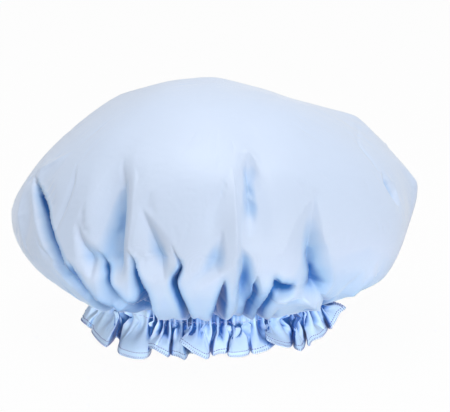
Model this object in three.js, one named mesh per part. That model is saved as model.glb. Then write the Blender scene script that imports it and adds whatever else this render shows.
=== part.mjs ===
// A puffed shower cap: a cloth crown over a waterproof lining, drawn in by an elastic neck with a
// gathered frill below it. Millimetres, +Z up. The cap stands on the hem of its frill, and its
// origin is in the middle of the hem, at the level of the surface that it stands on.
// Azimuths are degrees: 0 is the cap's right (+X), 180 its left and 270 its front (-Y).
import * as THREE from "three";

// Crown: a round cut of cloth, puffed out and gathered into the neck.
const CROWN_HEIGHT = 165;
const NECK_RADIUS = 78;
const NECK_HEIGHT = 29;
const SHOULDER_POWER = 1.74; // superellipse power of the outline above the widest level
const BELLY_SHARE = 0.62; // how far down the outline, from crown to neck, the widest level lies
// The widest level towards each side, and the superellipse power of the pouch below it.
const BELLY = [
  { azimuth: 0, radius: 138, height: 86, pouch: 1.75 },
  { azimuth: 90, radius: 129, height: 83, pouch: 2 },
  { azimuth: 180, radius: 135.5, height: 70, pouch: 1.75 },
  { azimuth: 270, radius: 126, height: 79, pouch: 2.3 },
];
const FRONT = 270;
const POUCH_SAG = 4; // how far the pouch hangs down over the neck in front
const SAG_POWER = 2.2; // the higher, the closer to the neck it hangs lowest
const CLOTH = 0.6; // thickness of the crown and frill cloth
const FILM = 0.5; // thickness of the lining
const LAYER_STEP = 1.3; // from the crown's outer face to the lining's
const SEAM_GAP = 0.3; // between pieces that are sewn edge to edge

// Soft corners where the stiff cloth stands proud of the smooth outline, and dents between them.
const CORNERS = [
  { azimuth: 148, share: 0.25, out: 5.5, spread: 24 },
  { azimuth: 80, share: 0.08, out: 2, spread: 16 },
  { azimuth: 25, share: 0.16, out: -5, spread: 30 },
  { azimuth: 28, share: 0.27, out: -4, spread: 22 },
  { azimuth: 13, share: 0.34, out: 3, spread: 14 },
  { azimuth: 18, share: 0.45, out: 1, spread: 22 },
  { azimuth: 356, share: 0.565, out: 4.5, spread: 13 },
  { azimuth: 349, share: 0.66, out: -2.5, spread: 24 },
  { azimuth: 334, share: 0.79, out: 9, spread: 26 },
  { azimuth: 184, share: 0.57, out: 1.5, spread: 14 },
  { azimuth: 216, share: 0.87, out: 5, spread: 26 },
];
const CORNER_POWER = 1.5; // the lower, the more pointed the corners
const CORNER_FADE = 0.1; // stretch above the neck in which they fade out

// Gathers of the front, from the left side round to the right: where each starts on the way down,
// the azimuth there and at the neck, and its depth. The back is gathered alike, half a turn on.
const FRONT_FOLDS = [
  { from: 0.5, top: 186, neck: 204, depth: 4 },
  { from: 0.43, top: 203, neck: 233, depth: 10 },
  { from: 0.54, top: 228, neck: 241, depth: 8 },
  { from: 0.32, top: 233, neck: 248, depth: 8 },
  { from: 0.46, top: 249, neck: 256, depth: 8 },
  { from: 0.55, top: 259, neck: 263, depth: 9 },
  { from: 0.53, top: 274, neck: 270, depth: 9 },
  { from: 0.3, top: 284, neck: 278, depth: 7 },
  { from: 0.64, top: 290, neck: 286, depth: 9 },
  { from: 0.46, top: 302, neck: 300, depth: 8 },
  { from: 0.6, top: 320, neck: 314, depth: 4 },
  { from: 0.45, top: 337, neck: 338, depth: 5 },
  { from: 0.55, top: 353, neck: 360, depth: 3 },
];
const FOLD_FULL = 0.5; // share of a fold's length at which it is deepest
const FOLD_AT_NECK = 0.3; // share of its depth that is left where the elastic pulls it flat
const FLANK = 0.42; // share of a fold's depth halfway up its flanks

// Frill and elastic casing below the neck seam.
const PLEATS = 30;
const PLEAT_COLUMNS = 6;
const PLEAT_VARIATION = 0.3; // how much deeper or shallower than the mean a pleat can be
const PLEAT_SWELLS = 7; // times round the hem that the pleats deepen
const PLEAT_DRIFT = 3; // and times that this changes round
const CASING_HEIGHT = 8;
const CASING_PUCKER = 0.9; // depth of the puckers, either side of the casing's radius
const HEM_RADIUS = 82;
const HEM_DEPTH = 6; // depth of the pleats at the hem, either side of its radius
const HEM_LAP = 0.2; // how far the pleats' flanks lean over, as a share of a pleat
const HEM_PANEL = 0.4; // how much wider the outer panels of the pleats are than the valleys
const HEM_THICKNESS = 1.2; // the cloth is turned up twice along the hem
const HEM_WAVE = 1.6; // how far the hem rises and falls from pleat to pleat
const HEM_FLAT = 0.85; // how deep the hem is pressed flat where it stands
// Where the frill flares up off the surface that the cap stands on.
const HEM_LIFT = { azimuth: 346, height: 11, spread: 30 };

// Elastic, and the tape that holds it to the inside of the neck.
const ELASTIC_RADIUS = 74.2;
const ELASTIC_WIDTH = 5;
const ELASTIC_THICKNESS = 1;
const ELASTIC_LAP = 14; // degrees by which its ends overlap
const ELASTIC_JOIN = 90; // azimuth of the join, at the back
const TAPE_RADIUS = 70.4;
const TAPE_LIP_RADIUS = 75.3;
const TAPE_THICKNESS = 0.5;
const RING_STEPS = 64;

// Sewing thread.
const THREAD = 0.8;
const THREAD_SIDES = 4;
const STITCH_INSET = 1.2; // from the casing's edges to its stitching
const HEM_STITCH_HEIGHT = 3; // from the hem's edge to its stitching
const TACK_ZIGZAGS = 4;

const material = (color, roughness) => new THREE.MeshStandardMaterial({ color, roughness, metalness: 0 });
const crownCloth = material(0xcfe0f6, 0.55);
const liningFilm = material(0xe6edf5, 0.35);
const elasticWeave = material(0xf1f2f4, 0.8);
const thread = material(0xb9cdec, 0.6);

const radians = THREE.MathUtils.degToRad;
const lerp = THREE.MathUtils.lerp;
const smooth = (x) => THREE.MathUtils.smoothstep(x, 0, 1);
const polar = (azimuth, radius, height) =>
  new THREE.Vector3(radius * Math.cos(azimuth), radius * Math.sin(azimuth), height);

// Angle between two azimuths in degrees, from -180 to 180.
const turnBetween = (a, b) => THREE.MathUtils.euclideanModulo(a - b + 180, 360) - 180;

// A closed solid from rings of points. Each ring joins to the next, which has as many points or
// twice as many, and the last ring joins to the first unless the ends are single points.
function solidFromRings(rings, closed) {
  const points = [];
  const triangles = [];
  const indices = rings.map((ring) => ring.map((point) => points.push(point) - 1));
  // Split the same way going down a shell's outer face as going back up its inner one.
  const quad = (a, b, c, d) => {
    if (points[a].z >= points[b].z) triangles.push(a, b, c, a, c, d);
    else triangles.push(a, b, d, b, c, d);
  };
  const join = (upper, lower) => {
    const many = Math.max(upper.length, lower.length);
    for (let i = 0; i < many; i++) {
      const next = (i + 1) % many;
      if (upper.length === 1) triangles.push(upper[0], lower[i], lower[next]);
      else if (lower.length === 1) triangles.push(upper[i], lower[0], upper[next]);
      else if (upper.length === lower.length) quad(upper[i], lower[i], lower[next], upper[next]);
      else joinDouble(upper, lower, i, next);
    }
  };
  // One step of a join where one ring has twice as many points as the other.
  const joinDouble = (upper, lower, i, next) => {
    const finerBelow = lower.length > upper.length;
    const coarse = finerBelow ? upper : lower;
    const fine = finerBelow ? lower : upper;
    const here = coarse[Math.floor(i / 2)];
    const after = coarse[(Math.floor(i / 2) + 1) % coarse.length];
    const half = i % 2 === 0 ? here : after;
    const add = (a, b, c) => (finerBelow ? triangles.push(a, b, c) : triangles.push(a, c, b));
    add(half, fine[i], fine[next]);
    if (i % 2 === 0) add(here, fine[next], after);
  };
  for (let i = 0; i + 1 < indices.length; i++) join(indices[i], indices[i + 1]);
  if (closed) join(indices.at(-1), indices[0]);
  const geometry = new THREE.BufferGeometry().setFromPoints(points);
  geometry.setIndex(triangles);
  geometry.computeVertexNormals();
  return geometry;
}

// The crown's outline at an azimuth: the point at a share of the way from its top to the neck.
function outline(azimuth, share) {
  const weights = BELLY.map((side) => Math.max(0, Math.cos(radians(azimuth - side.azimuth))) ** 2);
  const blend = (measure) => BELLY.reduce((sum, side, i) => sum + weights[i] * side[measure], 0);
  const radius = blend("radius");
  const height = blend("height");
  if (share < BELLY_SHARE) {
    const angle = (share / BELLY_SHARE) * (Math.PI / 2);
    const power = 2 / SHOULDER_POWER;
    return new THREE.Vector2(
      radius * Math.sin(angle) ** power,
      height + (CROWN_HEIGHT - height) * Math.cos(angle) ** power,
    );
  }
  const below = (share - BELLY_SHARE) / (1 - BELLY_SHARE);
  const angle = below * (Math.PI / 2);
  const power = 2 / blend("pouch");
  const inFront = Math.max(0, Math.cos(radians(azimuth - FRONT))) ** 2;
  return new THREE.Vector2(
    NECK_RADIUS + (radius - NECK_RADIUS) * Math.max(0, Math.cos(angle)) ** power,
    height - (height - NECK_HEIGHT) * Math.sin(angle) ** power
      - POUCH_SAG * inFront * Math.sin(Math.PI * below ** SAG_POWER),
  );
}

// Direction out of the crown, in the upright plane of its outline. At the neck the cloth turns from
// the hanging pouch down into the seam, so there it is halfway between level and downwards.
function outwards(azimuth, share) {
  if (share === 1) return new THREE.Vector2(1, -1).normalize();
  const step = 0.01;
  const along = outline(azimuth, Math.min(1, share + step)).sub(outline(azimuth, Math.max(0, share - step)));
  return new THREE.Vector2(-along.y, along.x).normalize();
}

// How far the crown's corners stand out at a place. The seam at the neck has none.
function cornerBulge(azimuth, share) {
  const here = outline(azimuth, share);
  const bulge = CORNERS.reduce((sum, corner) => {
    const middle = outline(corner.azimuth, corner.share);
    const across = radians(turnBetween(azimuth, corner.azimuth)) * middle.x;
    const distance = Math.hypot(across, here.distanceTo(middle));
    return sum + corner.out * Math.exp(-((distance / corner.spread) ** CORNER_POWER));
  }, 0);
  return bulge * smooth((1 - share) / CORNER_FADE);
}

const FOLDS = [0, 180]
  .flatMap((turn) => FRONT_FOLDS.map((fold) => ({ ...fold, top: fold.top + turn, neck: fold.neck + turn })));

// How far along a fold a place on the crown is: 0 at its start and above, 1 at the neck.
const alongFold = (fold, share) => Math.max(0, (share - fold.from) / (1 - fold.from));
const foldAzimuth = (fold, share) => lerp(fold.top, fold.neck, alongFold(fold, share));

function foldDepth(fold, share) {
  const along = alongFold(fold, share);
  if (along < FOLD_FULL) return fold.depth * smooth(along / FOLD_FULL);
  return fold.depth * lerp(1, FOLD_AT_NECK, smooth((along - FOLD_FULL) / (1 - FOLD_FULL)));
}

// A ring of the crown at a share of the way down, with the given number of points to each fold:
// its valley, its flanks and the ridge beside it. Inset is how far it lies inside the outer face.
function crownRing(share, perFold, inset) {
  const ring = [];
  FOLDS.forEach((fold, i) => {
    const next = FOLDS[(i + 1) % FOLDS.length];
    const start = foldAzimuth(fold, share);
    const gap = THREE.MathUtils.euclideanModulo(foldAzimuth(next, share) - start, 360);
    for (let k = 0; k < perFold; k++) {
      const across = k / perFold;
      const azimuth = start + gap * across;
      const nearest = across < 0.5 ? fold : next;
      const toRidge = Math.min(across, 1 - across) * 2;
      const sunk = toRidge === 0 ? 1 : toRidge < 1 ? FLANK : 0;
      const inward = inset + sunk * foldDepth(nearest, share) - cornerBulge(azimuth, share);
      const place = outline(azimuth, share).addScaledVector(outwards(azimuth, share), -inward);
      ring.push(polar(radians(azimuth), place.x, place.y));
    }
  });
  return ring;
}

// A shell that follows the crown: rings down its outer face, back up its inner one.
function crownShell(inset, thickness) {
  const levels = [
    [0.15, 1],
    [0.3, 1],
    [0.43, 2],
    [0.54, 4],
    [0.66, 4],
    [0.79, 4],
    [0.91, 4],
    [1, 4],
  ];
  const face = (depth) => {
    const top = new THREE.Vector3(0, 0, CROWN_HEIGHT - depth);
    return [[top], ...levels.map(([share, perFold]) => crownRing(share, perFold, depth))];
  };
  return solidFromRings([...face(inset), ...face(inset + thickness).reverse()], false);
}

// A point of the frill's cloth. Turn goes from 0 to 1 round the ring, and out is the distance from
// the middle of the cloth, towards the outside.
function frillPoint(turn, level, out) {
  const place = (at) => {
    const around = 2 * Math.PI * at;
    const phase = PLEATS * around;
    const swell = 1 + PLEAT_VARIATION * Math.sin(PLEAT_SWELLS * around) * Math.cos(PLEAT_DRIFT * around);
    const spread = level.panel * Math.sin(phase) + level.lap * Math.sin(2 * phase);
    const azimuth = around + spread / PLEATS;
    return polar(azimuth, level.radius + level.depth * swell * Math.cos(phase), 0);
  };
  const step = 1e-4;
  const along = place(turn + step).sub(place(turn - step)).normalize();
  return place(turn).add(new THREE.Vector3(along.y, -along.x, 0).multiplyScalar(out)).setZ(level.height(turn));
}

// Height of the hem: it waves from pleat to pleat, stands pressed flat, and lifts off at the right.
function hemHeight(turn) {
  const wave = HEM_WAVE * (1 - Math.cos(2 * Math.PI * PLEATS * turn)) - HEM_FLAT;
  const away = Math.abs(turnBetween(turn * 360, HEM_LIFT.azimuth)) / HEM_LIFT.spread;
  return Math.max(0, wave) + HEM_LIFT.height * (1 - smooth(away));
}

const seamHeight = NECK_HEIGHT - SEAM_GAP;
const casingFoot = seamHeight - CASING_HEIGHT;
const casingLevel = (height) => ({
  radius: NECK_RADIUS,
  depth: CASING_PUCKER,
  lap: 0,
  panel: 0,
  height: () => height,
});
const hemLevel = { radius: HEM_RADIUS, depth: HEM_DEPTH, lap: HEM_LAP, panel: HEM_PANEL, height: hemHeight };

function frillRing(level, out) {
  const columns = PLEATS * PLEAT_COLUMNS;
  return Array.from({ length: columns }, (_, i) => frillPoint(i / columns, level, out));
}

function frill() {
  const top = casingLevel(seamHeight);
  const foot = casingLevel(casingFoot);
  return solidFromRings(
    [
      frillRing(top, CLOTH / 2),
      frillRing(foot, CLOTH / 2),
      frillRing(hemLevel, HEM_THICKNESS / 2),
      frillRing(hemLevel, -HEM_THICKNESS / 2),
      frillRing(foot, -CLOTH / 2),
      frillRing(top, -CLOTH / 2),
    ],
    true,
  );
}

// A tube round a closed loop of points that all lie about level: a thread's section swept along it.
function threadLoop(pathPoints) {
  const rings = Array.from({ length: THREAD_SIDES }, (_, side) => {
    const angle = (2 * Math.PI * side) / THREAD_SIDES;
    return pathPoints.map((point, i) => {
      const before = pathPoints.at(i - 1);
      const after = pathPoints[(i + 1) % pathPoints.length];
      const along = after.clone().sub(before);
      const sideways = new THREE.Vector3(along.y, -along.x, 0).normalize();
      return point
        .clone()
        .addScaledVector(sideways, (THREAD / 2) * Math.cos(angle))
        .add(new THREE.Vector3(0, 0, -(THREAD / 2) * Math.sin(angle)));
    });
  });
  return solidFromRings(rings, true);
}

// A row of stitching on the outer face of the frill's cloth.
function stitchRow(level, thickness) {
  const clear = thickness / 2 + SEAM_GAP + THREAD / 2;
  return threadLoop(frillRing(level, clear));
}

// The stitching above the hem lies on the straight fall of cloth between casing and hem.
function hemStitchLevel() {
  const share = (turn) => HEM_STITCH_HEIGHT / (casingFoot - hemHeight(turn));
  const typical = share(0.5);
  return {
    radius: lerp(HEM_RADIUS, NECK_RADIUS, typical),
    depth: lerp(HEM_DEPTH, CASING_PUCKER, typical),
    lap: HEM_LAP * (1 - typical),
    panel: HEM_PANEL * (1 - typical),
    height: (turn) => lerp(hemHeight(turn), casingFoot, share(turn)),
  };
}

// The flat elastic: an open band whose ends overlap, the last of it turning inside the first.
function elasticBand() {
  const sweep = 360 + ELASTIC_LAP;
  const inwardStep = ELASTIC_THICKNESS + SEAM_GAP;
  const middle = casingFoot + CASING_HEIGHT / 2;
  const section = (i) => {
    const turned = (sweep * i) / RING_STEPS;
    const azimuth = radians(ELASTIC_JOIN + turned - ELASTIC_LAP / 2);
    const inside = inwardStep * smooth((turned - (sweep - 3 * ELASTIC_LAP)) / (1.5 * ELASTIC_LAP));
    const outer = ELASTIC_RADIUS + ELASTIC_THICKNESS / 2 - inside;
    const low = middle - ELASTIC_WIDTH / 2;
    const high = middle + ELASTIC_WIDTH / 2;
    return [
      polar(azimuth, outer, low),
      polar(azimuth, outer, high),
      polar(azimuth, outer - ELASTIC_THICKNESS, high),
      polar(azimuth, outer - ELASTIC_THICKNESS, low),
    ];
  };
  const sections = Array.from({ length: RING_STEPS + 1 }, (_, i) => section(i));
  const centre = (ring) => ring.reduce((sum, point) => sum.add(point), new THREE.Vector3()).divideScalar(4);
  return solidFromRings([[centre(sections[0])], ...sections, [centre(sections.at(-1))]], false);
}

// Zigzag tacking that holds the elastic's overlapping ends, laid on the inner face of the lap.
function elasticTack() {
  const radius = ELASTIC_RADIUS - 1.5 * ELASTIC_THICKNESS - 2 * SEAM_GAP - THREAD / 2;
  const middle = casingFoot + CASING_HEIGHT / 2;
  const reach = ELASTIC_WIDTH / 2 - THREAD;
  const points = Array.from({ length: 2 * TACK_ZIGZAGS + 1 }, (_, i) => {
    const azimuth = ELASTIC_JOIN + ((i / TACK_ZIGZAGS - 1) * ELASTIC_LAP) / 4;
    return polar(radians(azimuth), radius, middle + (i % 2 ? reach : -reach));
  });
  const path = new THREE.CurvePath();
  points.slice(1).forEach((point, i) => path.add(new THREE.LineCurve3(points[i], point)));
  const section = new THREE.Shape(
    Array.from({ length: THREAD_SIDES }, (_, k) => {
      const angle = (2 * Math.PI * k) / THREAD_SIDES;
      return new THREE.Vector2((THREAD / 2) * Math.cos(angle), (THREAD / 2) * Math.sin(angle));
    }),
  );
  return new THREE.ExtrudeGeometry(section, { extrudePath: path, steps: 4 * TACK_ZIGZAGS, bevelEnabled: false });
}

// The tape that closes the casing on the inside: a band whose two edges turn out to the neck seams.
function casingTape() {
  const low = casingFoot + SEAM_GAP;
  const high = seamHeight - SEAM_GAP;
  const wall = TAPE_THICKNESS;
  const profile = [
    [TAPE_LIP_RADIUS, low],
    [TAPE_LIP_RADIUS, low + wall],
    [TAPE_RADIUS + wall, low + 2 * wall],
    [TAPE_RADIUS + wall, high - 2 * wall],
    [TAPE_LIP_RADIUS, high - wall],
    [TAPE_LIP_RADIUS, high],
    [TAPE_RADIUS, high - wall],
    [TAPE_RADIUS, low + wall],
    [TAPE_LIP_RADIUS, low],
  ];
  const band = new THREE.LatheGeometry(
    profile.map(([radius, height]) => new THREE.Vector2(radius, height)),
    RING_STEPS,
  );
  return band.rotateX(Math.PI / 2);
}

const cap = new THREE.Group();
cap.name = "shower_cap";
const add = (name, geometry, finish) => {
  const piece = new THREE.Mesh(geometry, finish);
  piece.name = name;
  cap.add(piece);
};
add("outer_crown", crownShell(0, CLOTH), crownCloth);
add("waterproof_lining", crownShell(LAYER_STEP, FILM), liningFilm);
add("frill", frill(), crownCloth);
add("casing_tape", casingTape(), crownCloth);
add("elastic_band", elasticBand(), elasticWeave);
add("elastic_tack", elasticTack(), thread);
add("upper_casing_stitching", stitchRow(casingLevel(seamHeight - STITCH_INSET), CLOTH), thread);
add("lower_casing_stitching", stitchRow(casingLevel(casingFoot + STITCH_INSET), CLOTH), thread);
add("hem_stitching", stitchRow(hemStitchLevel(), HEM_THICKNESS), thread);

export default cap;
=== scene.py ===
import math

import bpy
import numpy as np
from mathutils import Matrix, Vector
from mathutils.bvhtree import BVHTree


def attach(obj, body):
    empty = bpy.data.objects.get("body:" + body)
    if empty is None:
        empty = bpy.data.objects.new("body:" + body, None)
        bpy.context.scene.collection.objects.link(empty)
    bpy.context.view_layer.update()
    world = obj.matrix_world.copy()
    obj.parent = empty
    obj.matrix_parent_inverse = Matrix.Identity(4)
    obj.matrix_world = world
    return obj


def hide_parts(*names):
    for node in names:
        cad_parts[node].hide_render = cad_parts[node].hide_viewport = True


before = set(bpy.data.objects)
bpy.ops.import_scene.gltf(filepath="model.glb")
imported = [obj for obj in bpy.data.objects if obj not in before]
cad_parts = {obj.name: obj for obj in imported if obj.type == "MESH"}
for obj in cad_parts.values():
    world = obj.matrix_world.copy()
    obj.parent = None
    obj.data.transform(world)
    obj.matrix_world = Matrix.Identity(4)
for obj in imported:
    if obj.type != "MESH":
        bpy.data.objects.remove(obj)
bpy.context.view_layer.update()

# Lengths are millimetres until a mesh is made. Azimuths are degrees: 0 is the cap's right (+X), 180 its
# left and 270 its front. A share is how far down the crown a place is: 0 at the top, 1 at the neck seam.
MM = 0.001
TINY = 1e-9  # keeps lengths that are divided by above nothing

# The picture, and the camera that takes it
PICTURE_WIDTH, PICTURE_HEIGHT = 450, 412
CAMERA_LENS = 134.7
CAMERA_SENSOR = 36
CAMERA_FOCAL = CAMERA_LENS / CAMERA_SENSOR * PICTURE_WIDTH  # in pixels
CAMERA_AIM = (8.9, 0, 79.2)
CAMERA_DISTANCE = 1150
CAMERA_TILT = 15

# Crown
FRONT = 270
CROWN_HEIGHT = 165
NECK_RADIUS = 78
NECK_HEIGHT = 29
TOP_RISE = 0.1  # how far the middle of the top stands above the ring of cloth round it
SHOULDER_POWER = 1.74
BELLY_SHARE = 0.62
# Widest point towards each side: azimuth, radius, height, and the power of the outline below it.
BELLY = [
    (0, 135.8, 86, 1.75),
    (90, 129, 83, 2.0),
    (180, 134, 70, 1.75),
    (270, 126, 79, 2.3),
]
POUCH_SAG = 4.5  # the pouch hangs over the casing in front
POUCH_LOW = 2.2  # the higher, the closer to the seam it hangs lowest
# Soft corners and dents of the stiff cloth: azimuth, share, how far out, spread.
CORNERS = [
    (148, 0.25, 3.8, 24),
    (80, 0.08, 2, 16),
    (25, 0.16, -4.4, 30),
    (28, 0.27, -4, 22),
    (13, 0.34, 4.5, 16),
    (18, 0.45, 1, 22),
    (356, 0.565, 4.5, 13),
    (357, 0.55, 2, 5),
    (349, 0.66, -2.5, 24),
    (334, 0.79, 6.5, 26),
    (184, 0.57, 1.5, 14),
    (216, 0.87, 2, 26),
    (233, 0.9, 5, 15),
    (249, 0.9, -6, 12),
    (265, 0.9, -4, 12),
    (274, 0.9, -3, 10),
]
CORNER_POWER = 1.5
CORNER_FADE = 0.1  # stretch above the neck in which they fade out
# Folds of the front, laid out on the picture: each line is in pixels of a 450 x 412 picture, and is
# carried along the camera's rays onto the crown. Left and right are how many millimetres a fold reaches to
# either side of its line, and lip is how far the cloth on its steep side hangs over it. A fold with a neck
# azimuth runs on to the seam there. A ridge is a fold of negative depth. Rise and fall are the shares of
# its length over which it starts and ends.
FRONT_FOLDS = [
    dict(line=[(75, 150), (52, 168), (36, 180), (29, 197), (24, 222), (26, 240)],
         depth=-4.5, left=13, right=16),
    dict(line=[(41, 177), (48, 203), (52, 222), (60, 246), (68, 265), (79, 282)],
         depth=22, left=15, right=3, lip=3, rise=0.35, fall=0.14, power=1.1),
    dict(line=[(79, 160), (75, 180), (70, 198), (64, 215), (57, 242)],
         depth=1.1, left=5, right=2, rise=0.3, fall=0.4),
    dict(line=[(38, 243), (47, 255), (56, 266)], depth=2.4, left=6, right=3, rise=0.5, fall=0.5),
    dict(line=[(56, 267), (72, 279), (88, 291), (100, 301)],
         neck=234, depth=19, left=14, right=2.6, lip=2, rise=0.35, power=1.1, flatten=0.3),
    dict(line=[(72, 257), (84, 280), (100, 297), (115, 309), (126, 316)],
         neck=239, depth=19, left=15, right=2.6, lip=4, rise=0.45, power=1.4),
    dict(line=[(79, 225), (82, 243), (86, 258), (92, 279)],
         depth=8, left=9, right=12, rise=0.6, fall=0.3, power=1.7),
    dict(line=[(93, 250), (103, 270), (116, 286), (130, 300), (145, 309)],
         neck=248, depth=20, left=21, right=2.6, lip=4.5, rise=0.45, power=1.4),
    dict(line=[(125, 143), (121, 175), (117, 212), (115, 245), (116, 284)],
         depth=13, left=24, right=10, rise=0.62, fall=0.14, power=1.9, soft=0.35, even=True),
    dict(line=[(127, 249), (136, 268), (147, 286), (156, 302)],
         neck=254, depth=19, left=19, right=2.6, lip=4.5, rise=0.5, power=1.4),
    dict(line=[(142, 207), (150, 231), (158, 252), (167, 282)],
         depth=8.5, left=20, right=13, rise=0.6, fall=0.3, power=1.2, right_power=1.8),
    dict(line=[(171, 244), (178, 258), (181, 268), (177, 280), (179, 292), (186, 306), (190, 317)],
         neck=263, depth=10, left=4, right=2.5, lip=1.5, rise=0.3, power=1.3),
    dict(line=[(223, 228), (220, 250), (217, 262), (208, 272), (198, 281), (184, 292)],
         depth=6, left=14, right=8, rise=0.4, fall=0.6, power=2, soft=0.2),
    dict(line=[(225, 279), (219, 294), (215, 304), (213, 316)],
         neck=270, depth=20, left=2.6, right=8, lip=2.5, rise=0.3, power=1.2),
    dict(line=[(245, 143), (249, 175), (250, 205), (249, 250)],
         depth=7, left=9, right=14, rise=0.35, fall=0.4, power=1.7, soft=0.5, even=True),
    dict(line=[(233, 165), (236, 195), (237, 240), (236, 275), (234, 303)],
         depth=-3.5, left=14, right=3.5, rise=0.4, fall=0.3, power=1.3),
    dict(line=[(241, 246), (244, 265), (243, 282), (240, 298)],
         neck=277, depth=7, left=5, right=13, rise=0.3, power=1.8, soft=0.3),
    dict(line=[(259, 274), (255, 286), (251, 297), (244, 311)],
         neck=281, depth=10, left=2.6, right=11, lip=2.5, rise=0.3),
    dict(line=[(278, 277), (271, 291), (264, 303), (257, 315)],
         neck=287, depth=12, left=2.6, right=10, lip=2.5, rise=0.3),
    dict(line=[(273, 280), (284, 283), (298, 289)],
         depth=19, left=12, right=2.6, lip=3, rise=0.3, fall=0.4, power=1.2),
    dict(line=[(315, 196), (315, 222), (316, 240), (317, 262), (319, 298)],
         depth=11, left=24, right=9.5, rise=0.5, fall=0.1, power=1.1, right_power=1, flatten=0.1),
    dict(line=[(322, 248), (319, 272), (318, 290), (323, 308)],
         neck=309, depth=3, left=3, right=3, rise=0.6),
    dict(line=[(266, 303), (284, 298), (300, 296), (320, 307)], depth=-5, left=8, right=6),
    dict(line=[(350, 114), (358, 140), (372, 162), (384, 177)], depth=1.2, left=5, right=3),
    dict(line=[(381, 171), (388, 186), (399, 207)],
         depth=6, left=4, right=11, rise=0.35, fall=0.35, power=1.4),
    dict(line=[(380, 269), (362, 281), (345, 296)], depth=-3.5, left=13, right=4),
]
LINE_STEPS = 36  # points of a fold's line once it is smoothed
FOLD_TIP = 0.08  # width of a fold where it starts, as a share of its full width
FOLD_TAIL = 0.3  # the same where it ends
FOLD_MARGIN = 14  # how far past its width a fold is worked out
LIP_REACH = 7  # how far behind its edge a lip fades out
LIP_LIFT = 0.5  # how far a lip stands out, as a share of how far it hangs over
LIP_SHARE = 0.8  # the folds grow shallower from here on down
LIP_FADE = 0.7
SEAM_SHARE = 0.05  # the stretch above the seam in which the folds flatten out
SEAM_END = 0.985  # where folds that run on to the seam end
BACK_DEPTH = 0.6  # the folds behind are shallower
BACK_NARROWEST = 5
# Unevenness round the cap is a list of waves: size, count and phase.
PUCKERS = 58  # fine gathers where the crown meets the elastic
PUCKER_DEPTH = 2.2
PUCKER_SHARE = 0.84  # where they start
PUCKER_UNEVEN = 0.35
PUCKER_SWELLS = ([(1, 7, 0.6)], [(1, 13, 0)])
PUCKER_WANDER = [(1.1, 5, 0), (0.9, 11, 1), (0.7, 17, 2)]
NECK_FOLDS = 90  # short folds that run up from the neck between the long ones
NECK_FOLD_DEPTH = 4.5
NECK_FOLD_DEPTHS = (0.4, 1)  # least and most, as shares of the depth
NECK_FOLD_TOPS = (0.74, 0.9)
NECK_FOLD_WIDTHS = (2.5, 6)
NECK_FOLD_LEAN = 3
NECK_FOLD_BEND = 0.3  # how much of its lean a fold has left halfway down
NECK_FOLD_SEED = 21
DENTS = 90  # slight hollows and swells of handled cloth
DENT_DEPTH = 0.9
DENT_SHARES = (0.08, 0.8)
DENT_SIZES = (9, 26)
DENT_SEED = 4
CREASES = 70  # faint straight creases, mostly up and down
CREASE_DEPTH = 0.5
CREASE_DEPTHS = (0.3, 1)  # least and most, as shares of the depth
CREASE_SHARES = (0.2, 0.7)
CREASE_LENGTHS = (0.04, 0.16)
CREASE_WIDTHS = (2, 6)
CREASE_LEAN = 9
CREASE_SEED = 9
LINING_INSET = 2.4
LINING_WIDER = 2  # the film's folds are this much wider than the cloth's

# Grids of the crown
FINE_GRID = dict(front=500, back=220, rows=190)
COARSE_GRID = dict(front=190, back=80, rows=88)
TOP_SHARE = 0.012  # first row, round the middle of the top
UPPER_SHARE = 0.3  # one row in four lies above this
UPPER_ROWS = 4
LINING_AZIMUTHS = np.linspace(0, 360, 480, endpoint=False)
LINING_SHARES = np.linspace(0.015, 1, 90)
PICTURED_AZIMUTHS = np.arange(165, 390, 0.5)  # the part of the crown that the camera sees
PICTURED_SHARES = np.linspace(0.03, 0.97, 360)
OUTLINE_STEPS = 400

# How the crown settles as cloth
SETTLING = dict(
    quality=5, mass=0.15, air_damping=2, use_pressure=True, uniform_pressure_force=0.5, shrink_min=-0.03,
    tension_stiffness=20, compression_stiffness=20, shear_stiffness=10, bending_stiffness=0.4,
    tension_damping=10, compression_damping=10, shear_damping=10,
)
SETTLING_FRAMES = 12
SETTLING_SCALE = 10  # the cloth settles at ten times its size, where the solver is steadier
SETTLING_LIMIT = 3
CALM_SHARE = 0.14  # the top down to here settles less, since its grid is too dense to fold well
SWELLING_PASSES = 120  # the even swelling of the whole crown is taken out again
SWELLING_TAKEN_OUT = 0.9

# How shut in a place is, which darkens and deepens its colour as painted shade
SHELTER_RAYS = 32
SHELTER_START = 0.6  # the rays start this far off the cloth
GOLDEN_ANGLE = math.pi * (3 - math.sqrt(5))  # spreads the rays evenly
CROWN_SHELTER_REACH = 40
FRILL_SHELTER_REACH = 12
FRILL_SHELTER_THINNING = 2  # one row and column of the frill in two is measured
CROWN_SHELTER_PASSES = 1
FLOOR_PAINTED_SHADE = 0.5  # how much painted shade the floor adds to what faces it
FLOOR_DIP = -0.45  # rays steeper down than this meet the floor close by

# Frill: a strip that starts as the outer wall of the elastic's casing and hangs in pleats below it
CASING_TOP = NECK_HEIGHT - 0.3
CASING_FOOT = CASING_TOP - 8
CASING_ROWS = 9
CASING_PUCKER = (1, 2.6)  # depth of the gathers at its top and foot
CASING_SWELL = 0.5
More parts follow.
